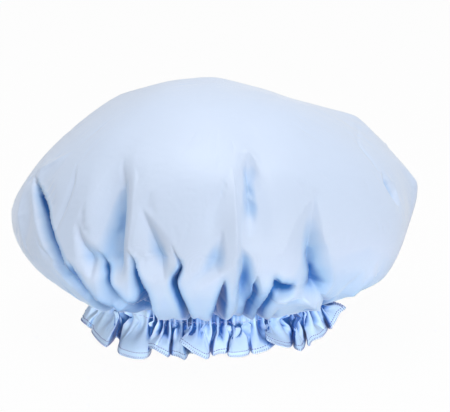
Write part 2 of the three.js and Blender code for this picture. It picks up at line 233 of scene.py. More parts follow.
# The hem in front, from the cap's left to its right, listed as pixels of the picture, and how far
# from the middle of the cap that point of the hem is.
FRONT_HEM = [
    (82, 318, 89), (86, 324, 90), (91, 328, 86),
    (93, 329, 84), (92, 332, 87), (98, 340, 90), (106, 346, 89), (112, 342, 82),
    (116, 337, 76), (120, 339, 79), (121, 338, 75),
    (118, 351, 88), (125, 356, 92), (136, 358, 92), (147, 357, 89), (151, 351, 79),
    (147, 347, 88), (154, 348, 93), (163, 353, 91), (169, 356, 88), (171, 349, 77),
    (171, 354, 85), (178, 356, 88), (185, 359, 89), (189, 353, 80),
    (195, 353, 77), (188, 346, 86), (180, 341, 94), (188, 347, 95), (198, 354, 93),
    (208, 358, 91), (210, 351, 79),
    (213, 355, 86), (219, 353, 85), (227, 352, 85), (231, 347, 77),
    (228, 355, 88), (238, 356, 90), (248, 354, 89), (250, 350, 83),
    (253, 353, 88), (262, 351, 90), (271, 347, 90), (276, 341, 80),
    (266, 336, 90), (270, 340, 95), (282, 345, 91), (291, 346, 86), (294, 338, 75),
    (294, 347, 84), (300, 350, 88), (304, 347, 85), (307, 336, 75),
    (308, 345, 84), (313, 340, 89), (322, 336, 90), (327, 330, 87), (327, 327, 82),
    (330, 328, 88), (335, 321, 91), (339, 313, 92), (344, 306, 95),
]
BACK_PLEATS = 18  # pleats of the hem behind, from the cap's right round to its left
BACK_PLEAT = [(0.12, 0.9), (0.3, 0.05), (0.55, 0), (0.8, 0.1), (0.9, 0.95)]  # share along it, share inward
BACK_PLEAT_WIDTHS = (0.75, 1.3)
BACK_PLEAT_SHIFT = 0.04
BACK_LIFTED = 3  # pleats at either end that are lifted like the ends of the front
BACK_SEED = 11
RIDGE_RADIUS = NECK_RADIUS + 9
RIDGE_UNEVEN = (-2, 3)
VALLEY_RADIUS = NECK_RADIUS - 3
VALLEY_LIFT = 2
HEM_UNEVEN = (-0.5, 1.5)
HEM_STEP = 0.6  # distance between columns of the frill, along the hem
HEM_CURVE_STEPS = 24  # steps of the hem's curve between two of its points
HEM_FOLD = 4  # how far the hem is turned up inside
HEM_FOLD_ROWS = (0.35, 0.7, 1)
HEM_ROLL = 0.7
HEM_ROLL_ROWS = 6
HEM_ROLL_DROP = 0.8  # how far the roll hangs down, as a share of its radius
HEM_CLEARANCE = 0.9
HEM_FLARE = NECK_RADIUS + 21  # the hem in front reaches out no further than this
HEM_FLARE_STEP = 0.5
FRILL_ROWS = 27
HEM_ROW = CASING_ROWS + FRILL_ROWS - 2  # row of the frill's grid that is the hem's edge
HEM_STITCH_ROW = HEM_ROW - 3
CASING_STITCH_ROWS = (1, 7)
FOOT_EVENING = 14  # stretch over which the pleats are evened out at the casing
FRILL_PULL = 0.36  # how straight the frill leaves the casing and meets the hem, as a share of its depth
HEM_LEAN = 0.55  # how much of the frill's slant is left at the hem
FRILL_CREASES = 150
FRILL_CREASE_DEPTH = 4.4
FRILL_CREASE_MOST = 1.4  # where creases meet they get no deeper than this share of the depth
FRILL_CREASE_START = 0.08  # stretch below the casing in which they start
FRILL_CREASE_RUNS = (0.3, 1)
FRILL_CREASE_SHORTER = 1.3  # the higher, the more creases are short
FRILL_CREASE_LEAST = 0.4  # depth of the shortest creases, as a share of the longest
FRILL_CREASE_FADE = 0.7
FRILL_CREASE_SLANT = 9
FRILL_CREASE_STEEP = (0.6, 1.2)
FRILL_CREASE_GENTLE = (1.5, 4)
FRILL_SEED = 5
GATHERS = 96  # fine gathers that run down from the casing
GATHER_DEPTH = 2.5
GATHER_RUN = 0.75
GATHER_UNEVEN = 0.3
GATHER_SWELL = [(1, 17, 0.4)]
GATHER_WANDER = [(1.3, 5, 0), (1.1, 13, 1)]

# Threads
STITCH_THREAD = 0.3
STITCH_PROUD = 0.25
STITCH_SINK = 0.3  # how far a stitch is sunk into the cloth, as a share of the thread
STITCH_END = 0.55  # thickness at the ends of a stitch, as a share of the thread
STITCH_STEPS = 7
HEM_STITCH = dict(pitch=3, span=1.9)  # in columns of the frill
CASING_STITCH = dict(pitch=9, span=6.3)
THREAD_SIDES = 6
OVERLOCK_PITCH = 1.5
OVERLOCK_THREAD = 0.2
OVERLOCK_SIDES = 5
OVERLOCK_STEPS = 9  # steps of one turn of its thread
OVERLOCK_PROUD = 0.22
OVERLOCK_LIFT = 0.2
OVERLOCK_HALF_HEIGHT = 0.75

# Inside the casing: the folded tape, the elastic and its tack
TAPE_INNER = NECK_RADIUS - 7.6
TAPE_LIP = NECK_RADIUS - 2.8  # radius that its two flanges reach out to
TAPE_LOW = CASING_FOOT + 0.4
TAPE_HIGH = CASING_TOP - 0.4
TAPE_THICK = 0.5
TAPE_BEND = [(1, 0), (0.2, 0.3), (0, 1.2)]  # its rounded corners: how far out, how far up
TAPE_HOLLOW = 0.25
TAPE_HOLLOW_STEPS = (0.2, 0.4, 0.6, 0.8)
TAPE_COLUMNS = 360
TAPE_WAVE = 0.22
TAPE_WANDER = [(1, 5, 0)]
ELASTIC_RADIUS = NECK_RADIUS - 3.8
ELASTIC_LOW = TAPE_LOW + 1.2
ELASTIC_HIGH = TAPE_HIGH - 1.2
ELASTIC_HALF = 0.3
ELASTIC_LAP = 14
ELASTIC_LAP_STEP = 0.62  # its ends lie this far out and in, so that they clear each other
ELASTIC_COLUMNS = 420
ELASTIC_RIBS = 6
RIB_STEPS = 6
RIB_HEIGHT = 0.1
TACK_ZIGZAGS = 9
TACK_LENGTH = 9
TACK_RADIUS = ELASTIC_RADIUS - 2.05
TACK_HEIGHTS = (ELASTIC_HIGH - 0.5, ELASTIC_LOW + 0.5)
TACK_THREAD = 0.28
TACK_STEPS = 12

# Materials: threads, wrinkles and patches are counted per metre. Tones go from the thing's own colour in
# open places to painted shade in shut-in places, each a shelter value and a colour.
# painted shade: the later tones darken the cloth towards navy where it is shut in
CROWN_COLOUR_AND_PAINTED_SHADE = [(0.14, (0.605, 0.71, 0.89)), (0.34, (0.37, 0.57, 0.84)), (0.52, (0.03, 0.18, 0.54))]
FRILL_COLOUR_AND_PAINTED_SHADE = [(0.18, (0.62, 0.80, 1.0)), (0.37, (0.32, 0.55, 0.90)), (0.62, (0.02, 0.12, 0.45))]
ELASTIC_TONES = [(0, (0.80, 0.82, 0.84)), (1, (0.4, 0.42, 0.46))]
THREAD_TONES = [(0, (0.19, 0.24, 0.50)), (1, (0.08, 0.1, 0.26))]
PALE_THREAD_TONES = [(0, (0.46, 0.55, 0.83)), (1, (0.2, 0.25, 0.5))]
FILM_COLOUR = (0.74, 0.82, 0.92, 1)
THREAD_CONTRAST = 0.012
PATCH_CONTRAST = 0.09
CLOTH_PATCHES = 14
CLOTH_RELIEF = 0.0005
CLOTH_RELIEF_STRENGTH = 0.6
THREAD_RELIEF = 0.02  # height of the threads beside that of the wrinkles
SHEEN_ROUGHNESS = 0.4
FILM_WRINKLES = 120
FILM_PATCHES = 30
FILM_ROUGHNESS = 0.6
FILM_RELIEF = 0.0008
FILM_RELIEF_STRENGTH = 0.7

# Stage, in metres and watts
FLOOR_SIZE = 8
FLOOR_GAP = 0.0005
FLOOR_GREY = (0.65, 0.65, 0.65, 1)
FLOOR_GLOW = 0.97  # how white the floor looks, while it still keeps the shadow
WORLD_LIGHT = 0.34
LAMP_AIM = (0, 0, 0.07)
LAMPS = [
    dict(name="key_lamp", place=(0.75, -1.25, 0.35), size=0.8, power=7.3),
    dict(name="low_lamp", place=(0.1, -1.2, 0.012), aim=(0.01, -0.08, 0.008), size=1.2, height=0.03,
         power=0.25, spread=10),
    dict(name="right_lamp", place=(1.35, -0.6, 0.5), size=0.8, power=2.5),
    dict(name="left_lamp", place=(-1.2, -0.85, 0.9), size=0.8, power=3.2),
    dict(name="top_lamp", place=(-0.12, 0.1, 1.6), size=1.0, power=12.8),
]


def smoothstep(x):
    x = np.clip(x, 0, 1)
    return x * x * (3 - 2 * x)


def turn_between(a, b):
    """Angle from b to a in degrees, from -180 to 180."""
    return (np.asarray(a) - b + 180) % 360 - 180


def waves(turn, parts):
    """A sum of sine waves, each a size, a count to the full turn and a phase."""
    return sum(size * np.sin(count * turn + phase) for size, count, phase in parts)


def outline(azimuth, share):
    """Radius and height of the smooth crown."""
    azimuth, share = np.broadcast_arrays(np.asarray(azimuth, float), np.asarray(share, float))
    radius = np.zeros_like(azimuth)
    height = np.zeros_like(azimuth)
    power = np.zeros_like(azimuth)
    for side, side_radius, side_height, side_power in BELLY:
        weight = np.maximum(0, np.cos(np.radians(azimuth - side))) ** 2
        radius += weight * side_radius
        height += weight * side_height
        power += weight * side_power
    up = np.clip(share / BELLY_SHARE, 0, 1) * np.pi / 2
    down = np.clip((share - BELLY_SHARE) / (1 - BELLY_SHARE), 0, 1) * np.pi / 2
    above = share < BELLY_SHARE
    r_up = radius * np.sin(up) ** (2 / SHOULDER_POWER)
    z_up = height + (CROWN_HEIGHT - height) * np.maximum(0, np.cos(up)) ** (2 / SHOULDER_POWER)
    r_down = NECK_RADIUS + (radius - NECK_RADIUS) * np.maximum(0, np.cos(down)) ** (2 / power)
    z_down = height - (height - NECK_HEIGHT) * np.sin(down) ** (2 / power)
    front = np.maximum(0, np.cos(np.radians(azimuth - FRONT))) ** 2
    z_down = z_down - POUCH_SAG * front * np.sin(np.pi * (2 * down / np.pi) ** POUCH_LOW)
    return np.where(above, r_up, r_down), np.where(above, z_up, z_down)


def slope(azimuth, share):
    """Unit step down the crown's outline, as (radial, upward) parts."""
    step = 0.004
    r1, z1 = outline(azimuth, np.minimum(1, share + step))
    r0, z0 = outline(azimuth, np.maximum(0, share - step))
    length = np.hypot(r1 - r0, z1 - z0)
    return (r1 - r0) / length, (z1 - z0) / length


def corner_bulge(azimuth, share):
    """How far the corners and dents move the cloth outwards."""
    radius, height = outline(azimuth, share)
    total = np.zeros_like(radius)
    for corner, corner_share, out, spread in CORNERS:
        r, z = outline(corner, corner_share)
        level = radius**2 + r**2 - 2 * radius * r * np.cos(np.radians(azimuth - corner))
        distance = np.sqrt(np.maximum(0, level) + (height - z) ** 2)
        total += out * np.exp(-((distance / spread) ** CORNER_POWER))
    return total * smoothstep((1 - share) / CORNER_FADE)


def camera_axes():
    """The camera's place, and the directions ahead of it and up in its picture."""
    tilt = math.radians(CAMERA_TILT)
    ahead = np.array([0, math.cos(tilt), -math.sin(tilt)])
    up = np.array([0, math.sin(tilt), math.cos(tilt)])
    return np.array(CAMERA_AIM) - CAMERA_DISTANCE * ahead, ahead, up


def on_picture(points):
    """Where points in space are on the picture, in pixels."""
    eye, ahead, up = camera_axes()
    from_eye = points - eye
    scale = CAMERA_FOCAL / (from_eye @ ahead)
    to_right = PICTURE_WIDTH / 2 + scale * from_eye[..., 0]
    return np.stack([to_right, PICTURE_HEIGHT / 2 - scale * (from_eye @ up)], -1)


class PictureMap:
    """Finds the place on the smooth crown, as azimuth and share, that shows at a pixel of the picture."""

    def __init__(self):
        cloth = Cloth(PICTURED_AZIMUTHS, PICTURED_SHARES)
        points = cloth.points(0)
        self.pixels = on_picture(points)
        self.places = np.stack([cloth.azimuth, cloth.share], -1)
        normals = np.cross(np.gradient(points, axis=0), np.gradient(points, axis=1))
        self.shows = normals @ camera_axes()[1] < 0

    def place(self, pixel):
        distance = np.linalg.norm(self.pixels - pixel, axis=-1)
        nearest = np.argmin(np.where(self.shows, distance, np.inf))
        return tuple(self.places.reshape(-1, 2)[nearest])


def smooth_line(points, count):
    """A smooth curve through points, evenly spread over them."""
    points = np.asarray(points, float)
    ends = np.vstack([2 * points[0] - points[1], points, 2 * points[-1] - points[-2]])
    at = np.linspace(0, len(points) - 1 - TINY, count)
    i = at.astype(int)
    t = (at - i)[:, None]
    a, b, c, d = ends[i], ends[i + 1], ends[i + 2], ends[i + 3]
    curve = 2 * b + (c - a) * t + (2 * a - 5 * b + 4 * c - d) * t**2 + (3 * b - a - 3 * c + d) * t**3
    return 0.5 * curve


class Cloth:
    """The crown's cloth as a grid: where each point is on the smooth outline, and how far it is moved."""

    def __init__(self, azimuths, shares):
        self.azimuth, self.share = np.meshgrid(azimuths, shares)
        self.radius, self.height = outline(self.azimuth, self.share)
        self.down_r, self.down_z = slope(self.azimuth, self.share)
        self.sunk = np.zeros_like(self.radius)
        self.along = np.zeros_like(self.radius)
        self.around = np.zeros_like(self.radius)

    def flat(self, middle):
        """Places on the cloth, in millimetres right and down, laid flat around an azimuth."""
        shares = np.linspace(0, 1, OUTLINE_STEPS)
        r, z = outline(middle, shares)
        length = np.concatenate([[0], np.cumsum(np.hypot(np.diff(r), np.diff(z)))])
        return (
            np.radians(turn_between(self.azimuth, middle)) * self.radius,
            np.interp(self.share, shares, length),
            lambda a, s: np.stack(
                [np.radians(turn_between(a, middle)) * outline(a, s)[0], np.interp(s, shares, length)], -1
            ),
        )

    def across_line(self, line, reach):
        """Places within reach of a line: which they are, their distance to its right, how far along it they
        are from 0 to 1, and the direction to its right."""
        line = smooth_line(line, LINE_STEPS)
        middle = line[:, 0].mean()
        x, y, to_flat = self.flat(middle)
        path = to_flat(line[:, 0], line[:, 1])
        low, high = path.min(0) - reach, path.max(0) + reach
        near = (x > low[0]) & (x < high[0]) & (y > low[1]) & (y < high[1])
        px, py = x[near], y[near]
        best = np.full(px.shape, np.inf)
        side = np.zeros_like(best)
        at = np.zeros_like(best)
        to_right = np.zeros((*best.shape, 2))
        lengths = np.concatenate([[0], np.cumsum(np.linalg.norm(np.diff(path, axis=0), axis=1))])
        for i in range(len(path) - 1):
            start, step = path[i], path[i + 1] - path[i]
            size = np.linalg.norm(step)
            dx, dy = step / size
            t = np.clip(((px - start[0]) * dx + (py - start[1]) * dy) / size, 0, 1)
            qx, qy = px - start[0] - t * step[0], py - start[1] - t * step[1]
            distance = np.hypot(qx, qy)
            closer = distance < best
            best[closer] = distance[closer]
            side[closer] = np.sign(qx * dy - qy * dx)[closer]
            at[closer] = ((lengths[i] + t * size) / lengths[-1])[closer]
            to_right[closer] = (dy, -dx)
        return near, best * side, at, to_right

    def fold(self, line, depth, left, right, lip=0, rise=0.3, fall=0.2, power=1.6, right_power=None,
             soft=0, even=False, neck=None, flatten=LIP_FADE):
        """A valley along a line, or a ridge if its depth is negative. With a lip, the cloth on its steep
        side hangs over it. With a neck azimuth it runs on into the seam. An even fold keeps its width."""
        if neck is not None:
            line = [*line, (neck, SEAM_END)]
        near, side, at, to_right = self.across_line(line, 2 * max(left, right) + FOLD_MARGIN)
        growth = np.minimum(1, at / rise)
        ending = np.minimum(1, (1 - at) / fall) if neck is None else np.ones_like(at)
        if even:
            strength = smoothstep(growth) * smoothstep(ending)
            spread = np.ones_like(at)
        else:
            strength = growth * ending
            spread = (FOLD_TIP + (1 - FOLD_TIP) * growth) * (FOLD_TAIL + (1 - FOLD_TAIL) * ending)
        share = self.share[near]
        strength = strength * smoothstep((1 - share) / SEAM_SHARE)
        strength = strength * (1 - flatten * smoothstep((share - LIP_SHARE) / (1 - LIP_SHARE)))
        x = np.abs(side) / (np.where(side < 0, left, right) * spread)
        x = (np.hypot(x, soft) - soft) / (math.hypot(1, soft) - soft)
        valley = (1 - np.minimum(x, 1)) ** np.where(side < 0, power, right_power or power)
        self.sunk[near] += depth * strength * valley
        if lip:
            steep = 1 if right < left else -1
            beyond = side * steep
            wall = min(left, right) * spread
            hang = smoothstep(beyond / wall) * np.exp(-np.maximum(0, beyond - wall) / LIP_REACH)
            self.sunk[near] -= LIP_LIFT * lip * strength * hang
            move = -steep * lip * strength * hang
            self.around[near] += move * to_right[:, 0]
            self.along[near] += move * to_right[:, 1]

    def dents(self):
        """Slight round hollows and swells."""
        rng = np.random.RandomState(DENT_SEED)
        for _ in range(DENTS):
            azimuth, share = rng.uniform(0, 360), rng.uniform(*DENT_SHARES)
            size, out = rng.uniform(*DENT_SIZES), rng.uniform(-DENT_DEPTH, DENT_DEPTH)
            x, y, to_flat = self.flat(azimuth)
            middle_x, middle_y = to_flat(azimuth, share)
            self.sunk -= out * np.exp(-((x - middle_x) ** 2 + (y - middle_y) ** 2) / size**2)

    def creases(self):
        """Faint straight creases."""
        rng = np.random.RandomState(CREASE_SEED)
        for _ in range(CREASES):
            azimuth, share = rng.uniform(0, 360), rng.uniform(*CREASE_SHARES)
            lean, length = rng.uniform(-CREASE_LEAN, CREASE_LEAN), rng.uniform(*CREASE_LENGTHS)
            middle = (azimuth + lean / 2 + rng.uniform(-1, 1), share + length / 2)
            line = [(azimuth, share), middle, (azimuth + lean, share + length)]
            left, right = rng.uniform(*CREASE_WIDTHS, 2)
            depth = rng.uniform(*CREASE_DEPTHS) * CREASE_DEPTH
            self.fold(line, depth, left, right, rise=0.5, fall=0.5)

    def neck_folds(self):
        """Short folds up from the neck."""
        rng = np.random.RandomState(NECK_FOLD_SEED)
        for i in range(NECK_FOLDS):
            azimuth = 360 * (i + rng.uniform(0, 1)) / NECK_FOLDS
            lean, top = rng.uniform(-NECK_FOLD_LEAN, NECK_FOLD_LEAN), rng.uniform(*NECK_FOLD_TOPS)
            line = [(azimuth + lean, top), (azimuth + NECK_FOLD_BEND * lean, (top + SEAM_END) / 2)]
            left, right = rng.uniform(*NECK_FOLD_WIDTHS, 2)
            depth = rng.uniform(*NECK_FOLD_DEPTHS) * NECK_FOLD_DEPTH
            self.fold(line, depth, left, right, rise=0.7, power=1.5, neck=azimuth)

    def puckers(self):
        """Fine uneven gathers that run into the neck."""
        turn = np.radians(self.azimuth)
        phase = PUCKERS * turn + waves(turn, PUCKER_WANDER)
        swell = waves(turn, PUCKER_SWELLS[0]) * waves(turn, PUCKER_SWELLS[1])
        uneven = 1 - PUCKER_UNEVEN * (1 - swell)
        growth = smoothstep((self.share - PUCKER_SHARE) / (1 - PUCKER_SHARE))
        self.sunk += PUCKER_DEPTH * uneven * growth * (0.5 - 0.5 * np.cos(phase))

    def points(self, inset):
        """Places in space, that far inside the cloth."""
        out = corner_bulge(self.azimuth, self.share) - self.sunk - inset
        a = np.radians(self.azimuth)
        r = self.radius - self.down_z * out + self.down_r * self.along
        z = self.height + self.down_r * out + self.down_z * self.along
        x = r * np.cos(a) - self.around * np.sin(a)
        y = r * np.sin(a) + self.around * np.cos(a)
        return np.stack([x, y, z], -1)


def mesh_piece(name, points, faces):
    """An object from points in millimetres."""
    mesh = bpy.data.meshes.new(name)
    mesh.from_pydata((np.asarray(points) * MM).tolist(), [], faces)
    mesh.update()
    mesh.polygons.foreach_set("use_smooth", [True] * len(mesh.polygons))
    piece = bpy.data.objects.new(name, mesh)
    bpy.context.scene.collection.objects.link(piece)
    return piece


def ring_faces(rows, columns, wrap_rows=False):
    """Quads of a grid whose columns go all the way round."""
    i, j = np.meshgrid(np.arange(rows if wrap_rows else rows - 1), np.arange(columns), indexing="ij")
    here, below = i * columns, (i + 1) % rows * columns
    after = (j + 1) % columns
    return np.stack([here + j, below + j, below + after, here + after], -1).reshape(-1, 4).tolist()


def add_values(piece, name, values):
    """Stores one value for each point of a piece."""
    attribute = piece.data.attributes.new(name, "FLOAT", "POINT")
    attribute.data.foreach_set("value", np.asarray(values, float).ravel())


def crown_cloth(grid, fine=True):
    """The folded cloth of the crown on a grid of that many columns and rows."""
    behind = np.linspace(0, 180, grid["back"], endpoint=False)
    in_front = np.linspace(180, 360, grid["front"], endpoint=False)
    upper_rows = grid["rows"] // UPPER_ROWS
    upper = np.linspace(TOP_SHARE, UPPER_SHARE, upper_rows, endpoint=False)
    lower = np.linspace(UPPER_SHARE, 1, grid["rows"] - upper_rows)
    cloth = Cloth(np.concatenate([behind, in_front]), np.concatenate([upper, lower]))
    for fold in CROWN_FOLDS:
        cloth.fold(**fold)
    cloth.neck_folds()
    cloth.puckers()
    if fine:
        cloth.dents()
        cloth.creases()
    return cloth


def crown_disc():
    """Diameter of the flat round of cloth that the crown is made from: twice the way from top to seam."""
    shares = np.linspace(0, 1, OUTLINE_STEPS)
    r, z = outline(np.arange(0, 360, 5)[:, None], shares)
    return 2 * np.hypot(np.diff(r), np.diff(z)).sum(1).mean()


def crown_folds():
    """The folds of the front as lines on the crown, and the same again behind."""
    pictured = PictureMap()
    for fold in FRONT_FOLDS:
        line = [pictured.place(pixel) for pixel in fold["line"]]
        yield dict(fold, line=line)
        behind = dict(fold, line=[(azimuth + 180, share) for azimuth, share in line])
        behind.update(depth=BACK_DEPTH * fold["depth"], lip=BACK_DEPTH * fold.get("lip", 0),
                      left=max(fold["left"], BACK_NARROWEST), right=max(fold["right"], BACK_NARROWEST))
        if "neck" in fold:
            behind["neck"] = fold["neck"] + 180
        yield behind


def capped(points):
    """Points and faces of a crown grid with its top closed."""
    rows, columns = points.shape[:2]
    faces = ring_faces(rows, columns) + [[rows * columns, j, (j + 1) % columns] for j in range(columns)]
    return np.vstack([points.reshape(-1, 3), points[0].mean(0) + (0, 0, TOP_RISE)]), faces


def smoothed(values, passes):
    """Values of a grid, each evened out with its neighbours that many times."""
    for _ in range(passes):
        values = (np.roll(values, 1, 1) + 2 * values + np.roll(values, -1, 1)) / 4
        ends = np.concatenate([values[:1], values, values[-1:]])
        values = (ends[:-2] + 2 * values + ends[2:]) / 4
    return values


def settle(cloth):
    """Lets the folded crown settle as cloth held at the seam, and gives how far each point moves."""
    start = cloth.points(0)
    points, faces = capped(start)
    piece = mesh_piece("settling_cloth", points * SETTLING_SCALE, faces)
    held = piece.vertex_groups.new(name="held")
    held.add(np.nonzero(cloth.share.ravel() > SEAM_END)[0].tolist(), 1, "REPLACE")
    settling = piece.modifiers.new("settling", "CLOTH")
    for name, value in SETTLING.items():
        setattr(settling.settings, name, value)
    settling.settings.vertex_group_mass = held.name
    settling.settings.effector_weights.gravity = 0
    settling.collision_settings.use_collision = False
    settling.point_cache.frame_start = 1
    settling.point_cache.frame_end = SETTLING_FRAMES
    for step in range(1, SETTLING_FRAMES + 1):
        bpy.context.scene.frame_set(step)
    settled = piece.evaluated_get(bpy.context.evaluated_depsgraph_get()).to_mesh()
    places = np.empty(len(settled.vertices) * 3)
    settled.vertices.foreach_get("co", places)
    bpy.context.scene.frame_set(1)
    bpy.data.objects.remove(piece)
    moved = places.reshape(-1, 3)[:-1].reshape(start.shape) / (SETTLING_SCALE * MM) - start
    moved -= SWELLING_TAKEN_OUT * smoothed(moved, SWELLING_PASSES)
    size = np.linalg.norm(moved, axis=-1, keepdims=True)
    kept = smoothstep(cloth.share / CALM_SHARE)[..., None]
    return kept * moved * np.minimum(1, SETTLING_LIMIT / np.maximum(size, TINY))


def cubic_weights(t):
    """Weights of the four points round a place, for a smooth curve through points."""
    weights = [-t + 2 * t**2 - t**3, 2 - 5 * t**2 + 3 * t**3, t + 4 * t**2 - 3 * t**3, t**3 - t**2]
    return 0.5 * np.stack(weights)


def resample(values, grid, azimuths, shares):
    """Values of a crown grid at other azimuths and shares."""
    columns, rows = grid.azimuth[0], grid.share[:, 0]
    at = np.interp(azimuths, np.append(columns, 360), np.arange(len(columns) + 1))
    i = at.astype(int)
    weights = cubic_weights(at - i)
    around = sum(w[None, :, None] * values[:, (i + k - 1) % len(columns)] for k, w in enumerate(weights))
    at = np.interp(shares, rows, np.arange(len(rows)))
    i = np.minimum(at.astype(int), len(rows) - 2)
    weights = cubic_weights(at - i)
    last = len(rows) - 1
    return sum(w[:, None, None] * around[np.clip(i + k - 1, 0, last)] for k, w in enumerate(weights))


def painted_shade(points, faces, reach, floor, others=None):
    """How far each point is shut in by the cloth around it, from 0 to 1, painted on as shade. Floor is how
    much the floor counts. Others are points and faces of other cloth."""
    mesh = bpy.data.meshes.new("painted_shade")
    mesh.from_pydata(points.tolist(), [], faces)
    normals = np.empty(len(points) * 3)
    mesh.vertex_normals.foreach_get("vector", normals)
    bpy.data.meshes.remove(mesh)
    normals = normals.reshape(-1, 3)
    corners = points.tolist()
    if others:
        corners = corners + others[0].tolist()
        faces = faces + [[len(points) + corner for corner in face] for face in others[1]]
    tree = BVHTree.FromPolygons(corners, faces)
    k = np.arange(SHELTER_RAYS) + 0.5
    turn = k * GOLDEN_ANGLE
    out = np.sqrt(k / SHELTER_RAYS)
    rays = np.stack([out * np.cos(turn), out * np.sin(turn), np.sqrt(1 - out**2)], -1)
    shut = np.zeros(len(points))
    for i in range(len(points)):
        normal = Vector(normals[i])
        across = normal.orthogonal().normalized()
        along = normal.cross(across)
        start = Vector(points[i]) + normal * SHELTER_START
        for u, v, w in rays:
            ray = across * u + along * v + normal * w
            if tree.ray_cast(start, ray, reach)[0]:
                shut[i] += 1
            # painted shade: rays that head steeply down count as shut in by the floor
            elif ray.z < FLOOR_DIP:
                shut[i] += floor
    return shut / SHELTER_RAYS


def crown_piece(coarse, moved):
    fine = crown_cloth(FINE_GRID)
    points = fine.points(0) + resample(moved, coarse, fine.azimuth[0], fine.share[:, 0])
    return mesh_piece("crown_cloth", *capped(points)), fine


def lining_piece(coarse, moved):
    cloth = Cloth(LINING_AZIMUTHS, LINING_SHARES)
    for fold in CROWN_FOLDS:
        wider = dict(left=fold["left"] + LINING_WIDER, right=fold["right"] + LINING_WIDER)
        cloth.fold(**dict(fold, lip=0, **wider))
    cloth.neck_folds()
    cloth.puckers()
    points = cloth.points(LINING_INSET) + resample(moved, coarse, cloth.azimuth[0], cloth.share[:, 0])
    return mesh_piece("lining_film", *capped(points))


# Frill

def through_picture(pixel_x, pixel_y, radius):
    """The place at that distance from the cap's middle that shows at a pixel of the picture, in front."""
    eye, ahead, up = camera_axes()
    ray = ahead - (pixel_y - PICTURE_HEIGHT / 2) / CAMERA_FOCAL * up
    ray[0] += (pixel_x - PICTURE_WIDTH / 2) / CAMERA_FOCAL
    a = ray[0] ** 2 + ray[1] ** 2
    b = eye[0] * ray[0] + eye[1] * ray[1]
    c = eye[0] ** 2 + eye[1] ** 2 - radius**2
    return eye + ray * (-b - math.sqrt(max(0, b * b - a * c))) / a


def front_hem_point(pixel_x, pixel_y, radius):
    """A point of the hem in front. One that would be below the floor is brought forward to rest on it."""
    while True:
        point = through_picture(pixel_x, pixel_y, radius)
        if point[2] >= HEM_CLEARANCE or radius >= HEM_FLARE:
            return point
        radius += HEM_FLARE_STEP


def around_back(first, last):
    """Hem points behind, from the last point in front round to the first."""
    rng = np.random.RandomState(BACK_SEED)
    start = math.degrees(math.atan2(last[1], last[0])) % 360 - 360
    end = math.degrees(math.atan2(first[1], first[0])) % 360
    widths = rng.uniform(*BACK_PLEAT_WIDTHS, BACK_PLEATS)
    edges = start + (end - start) * np.concatenate([[0], np.cumsum(widths) / widths.sum()])
    for i in range(BACK_PLEATS):
        low, high = edges[i], edges[i + 1]
        near_last = max(0, 1 - i / BACK_LIFTED)
        near_first = max(0, 1 - (BACK_PLEATS - 1 - i) / BACK_LIFTED)
        lift = last[2] * near_last**2 + first[2] * near_first**2
        for at, inward in BACK_PLEAT:
            shift = rng.uniform(-BACK_PLEAT_SHIFT, BACK_PLEAT_SHIFT)
            azimuth = math.radians(low + (high - low) * (at + shift))
            radius = RIDGE_RADIUS + rng.uniform(*RIDGE_UNEVEN) - inward * (RIDGE_RADIUS - VALLEY_RADIUS)
            height = max(HEM_CLEARANCE, lift + rng.uniform(*HEM_UNEVEN) + VALLEY_LIFT * inward)
            yield np.array([radius * math.cos(azimuth), radius * math.sin(azimuth), height])


def hem_path():
    """The hem as evenly spaced points all the way round, and its length."""
    front = [front_hem_point(*point) for point in FRONT_HEM]
    points = np.array(front + list(around_back(front[0], front[-1])))
    points[:, 2] = np.maximum(points[:, 2], HEM_CLEARANCE)
    loop = np.vstack([points[-2:], points, points[:3]])
    curve = smooth_line(loop, HEM_CURVE_STEPS * len(loop))
    curve = curve[HEM_CURVE_STEPS * 2 : HEM_CURVE_STEPS * (2 + len(points))]
    closed = np.vstack([curve, curve[:1]])
    length = np.concatenate([[0], np.cumsum(np.linalg.norm(np.diff(closed, axis=0), axis=1))])
    at = np.linspace(0, length[-1], int(length[-1] / HEM_STEP), endpoint=False)
    return np.stack([np.interp(at, length, closed[:, k]) for k in range(3)], -1), length[-1]


def evened(values, spread):
    """Values of a closed row, each evened out over its neighbours."""
    reach = np.arange(-3 * spread, 3 * spread + 1)
    weights = np.exp(-0.5 * (reach / spread) ** 2)
    weights /= weights.sum()
    return sum(w * np.roll(values, -k) for k, w in zip(reach, weights))


def directions(vectors):
    """Vectors made one long."""
    return vectors / np.maximum(np.linalg.norm(vectors, axis=-1, keepdims=True), TINY)


def frill_creases(length):
    """Slanting creases that run down from the casing: where each starts along a hem of that length, how far
    it slants, how far down it runs, and how wide its steep and gentle sides are."""
    rng = np.random.RandomState(FRILL_SEED)
    for _ in range(FRILL_CREASES):
        start, slant = rng.uniform(0, length), rng.uniform(-FRILL_CREASE_SLANT, FRILL_CREASE_SLANT)
        run = rng.uniform(*FRILL_CREASE_RUNS) ** FRILL_CREASE_SHORTER
        yield start, slant, run, rng.uniform(*FRILL_CREASE_STEEP), rng.uniform(*FRILL_CREASE_GENTLE)


def crease_depth(creases, place, length, t):
    """How deep the creases are along the hem, at a share t of the way down the frill."""
    total = np.zeros_like(place)
    for start, slant, run, steep, gentle in creases:
        if t < run:
            off = (place - start - slant * t + length / 2) % length - length / 2
            width = np.where(off * slant > 0, steep, gentle)
            deep = FRILL_CREASE_LEAST + (1 - FRILL_CREASE_LEAST) * run
            total += deep * (1 - t / run) ** FRILL_CREASE_FADE * np.exp(-np.abs(off) / width)
    return FRILL_CREASE_DEPTH * min(1, t / FRILL_CREASE_START) * np.minimum(total, FRILL_CREASE_MOST)


